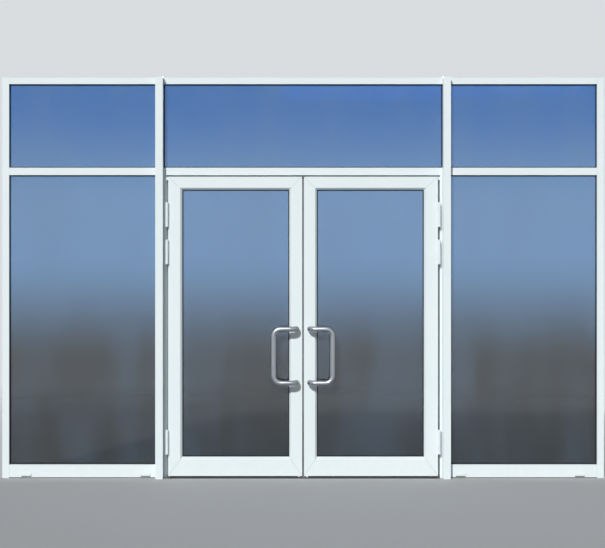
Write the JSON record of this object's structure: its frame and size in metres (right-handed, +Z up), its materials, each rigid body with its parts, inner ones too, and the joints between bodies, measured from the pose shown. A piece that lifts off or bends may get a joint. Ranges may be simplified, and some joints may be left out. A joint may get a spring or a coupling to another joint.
{
  "type": "double glass entrance door with sidelights",
  "caption": "Glass entrance screen: a pair of hinged glazed door leaves with pull handles, between fixed sidelights and under top lights, in a white metal frame.",
  "frame": {"origin": "on the floor, under the middle of the gap between the leaves, midway through their thickness", "axes": "+X along the screen to the right as seen from outside, +Y into the building, +Z up"},
  "size_m": [4.25, 0.263, 2.828],
  "materials": {
    "white_coating": "smooth white powder coating",
    "clear_glass": "clear float glass, faintly blue-green",
    "black_rubber": "matt black",
    "black_brush": "dense black bristles",
    "spacer_metal": "dull mill finish",
    "plain_aluminium": "mill finish",
    "threshold_aluminium": "worn anodised",
    "grey_keeper": "matt pale grey",
    "block_plastic": "plain",
    "white_plastic": "smooth white",
    "brushed_handle": "satin, brushed along the tube",
    "steel": "zinc plated"
  },
  "bodies": {
    "frame": {"jamb_left": "white_coating", "jamb_right": "white_coating", "mullion_left": "white_coating", "mullion_right": "white_coating", "head_left": "white_coating", "head_centre": "white_coating", "head_right": "white_coating", "transom_left": "white_coating", "transom_centre": "white_coating", "transom_right": "white_coating", "sill_left": "white_coating", "sill_right": "white_coating", "door_post_left": "white_coating", "door_post_right": "white_coating", "threshold": "threshold_aluminium", "floor_keeper": "grey_keeper", "sidelight_glass_left": "clear_glass", "sidelight_glass_right": "clear_glass", "toplight_glass_left": "clear_glass", "toplight_glass_centre": "clear_glass", "toplight_glass_right": "clear_glass", "frame_glazing_beads": "white_coating", "frame_gaskets": "black_rubber", "frame_glass_spacers": "spacer_metal", "frame_setting_blocks": "block_plastic", "drain_caps": "white_plastic", "hinge_frame_plates": "white_coating", "hinge_pins": "white_coating"},
    "left_leaf": {"left_leaf_hinge_stile": "white_coating", "left_leaf_meeting_stile": "white_coating", "left_leaf_top_rail": "white_coating", "left_leaf_bottom_rail": "white_coating", "left_leaf_glass": "clear_glass", "left_leaf_glass_spacer": "spacer_metal", "left_leaf_glazing_beads": "white_coating", "left_leaf_gaskets": "black_rubber", "left_leaf_corner_cleats": "plain_aluminium", "left_leaf_bottom_brush": "black_brush", "left_leaf_hinge_plates": "white_coating", "left_leaf_outer_handle": "brushed_handle", "left_leaf_inner_handle": "brushed_handle", "left_leaf_handle_bolts": "steel"},
    "right_leaf": {"right_leaf_hinge_stile": "white_coating", "right_leaf_meeting_stile": "white_coating", "right_leaf_top_rail": "white_coating", "right_leaf_bottom_rail": "white_coating", "right_leaf_glass": "clear_glass", "right_leaf_glass_spacer": "spacer_metal", "right_leaf_glazing_beads": "white_coating", "right_leaf_gaskets": "black_rubber", "right_leaf_corner_cleats": "plain_aluminium", "right_leaf_bottom_brush": "black_brush", "right_leaf_hinge_plates": "white_coating", "right_leaf_outer_handle": "brushed_handle", "right_leaf_inner_handle": "brushed_handle", "right_leaf_handle_bolts": "steel"},
    "left_top_bolt": {"left_leaf_top_bolt": "steel"},
    "left_bottom_bolt": {"left_leaf_bottom_bolt": "steel"},
    "right_top_bolt": {"right_leaf_top_bolt": "steel"},
    "right_bottom_bolt": {"right_leaf_bottom_bolt": "steel"}
  },
  "joints": [
    {"name": "left_leaf_hinge", "type": "hinge", "parent": "frame", "child": "left_leaf", "pos_m": [-0.9585, -0.0475, 0], "axis": [0, 0, -1], "range_deg": [0, 110]},
    {"name": "right_leaf_hinge", "type": "hinge", "parent": "frame", "child": "right_leaf", "pos_m": [0.9585, -0.0475, 0], "axis": [0, 0, 1], "range_deg": [0, 110]},
    {"name": "left_top_bolt_slide", "type": "slide", "parent": "left_leaf", "child": "left_top_bolt", "axis": [0, 0, 1], "range_m": [0, 0.024]},
    {"name": "left_bottom_bolt_slide", "type": "slide", "parent": "left_leaf", "child": "left_bottom_bolt", "axis": [0, 0, -1], "range_m": [0, 0.012]},
    {"name": "right_top_bolt_slide", "type": "slide", "parent": "right_leaf", "child": "right_top_bolt", "axis": [0, 0, 1], "range_m": [0, 0.024]},
    {"name": "right_bottom_bolt_slide", "type": "slide", "parent": "right_leaf", "child": "right_bottom_bolt", "axis": [0, 0, -1], "range_m": [0, 0.012]}
  ]
}
